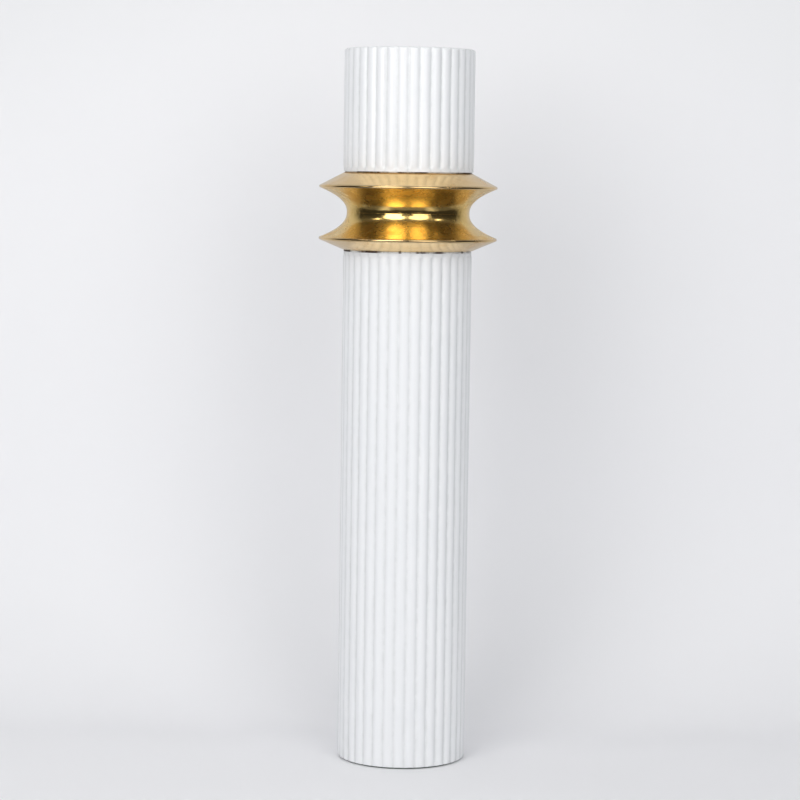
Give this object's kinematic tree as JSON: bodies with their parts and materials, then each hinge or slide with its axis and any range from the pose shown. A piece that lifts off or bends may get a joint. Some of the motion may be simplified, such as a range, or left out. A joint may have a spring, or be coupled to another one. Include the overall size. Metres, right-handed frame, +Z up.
{
  "type": "altar candlestick",
  "caption": "Tall round altar candlestick: white reeded column with a waisted brass collar and a lift-out candle cup in its open top.",
  "frame": {"origin": "centre of the foot, on the surface the candlestick stands on", "axes": "+Z up along the column's axis, -Y towards the front view"},
  "size_m": [0.18, 0.18, 0.72],
  "materials": {
    "white_lacquer": "white lacquer over reeded wood, satin to gloss",
    "bare_wood": "turned, unfinished",
    "gilt_brass": "spun and polished, lacquered",
    "cup_brass": "spun, light tarnish",
    "steel": "zinc plated",
    "iron": "as cast",
    "packing": "dark, worn edge",
    "felt": "pressed wool felt"
  },
  "bodies": {
    "column": {"base_felt": "felt", "base_plate": "steel", "base_screws": "steel", "foot_plug": "bare_wood", "foot_washer": "steel", "foot_nut": "steel", "ballast_weight": "iron", "shaft": "white_lacquer", "head_plug": "bare_wood", "tie_rod": "steel", "lower_packing": "packing", "collar_lower_cap": "gilt_brass", "collar_lower_bead": "gilt_brass", "collar_lower_bell": "gilt_brass", "collar_core": "bare_wood", "collar_upper_bell": "gilt_brass", "collar_upper_bead": "gilt_brass", "collar_upper_cap": "gilt_brass", "upper_packing": "packing", "drum": "white_lacquer", "drum_washer": "steel", "drum_nut": "steel", "pan_seat": "felt"},
    "candle_cup": {"drip_pan": "cup_brass", "candle_socket": "cup_brass", "socket_rivets": "cup_brass"}
  },
  "joints": [
    {"name": "candle_cup_lift", "type": "slide", "parent": "column", "child": "candle_cup", "axis": [0, 0, 1], "range_m": [0, 0.05]}
  ]
}
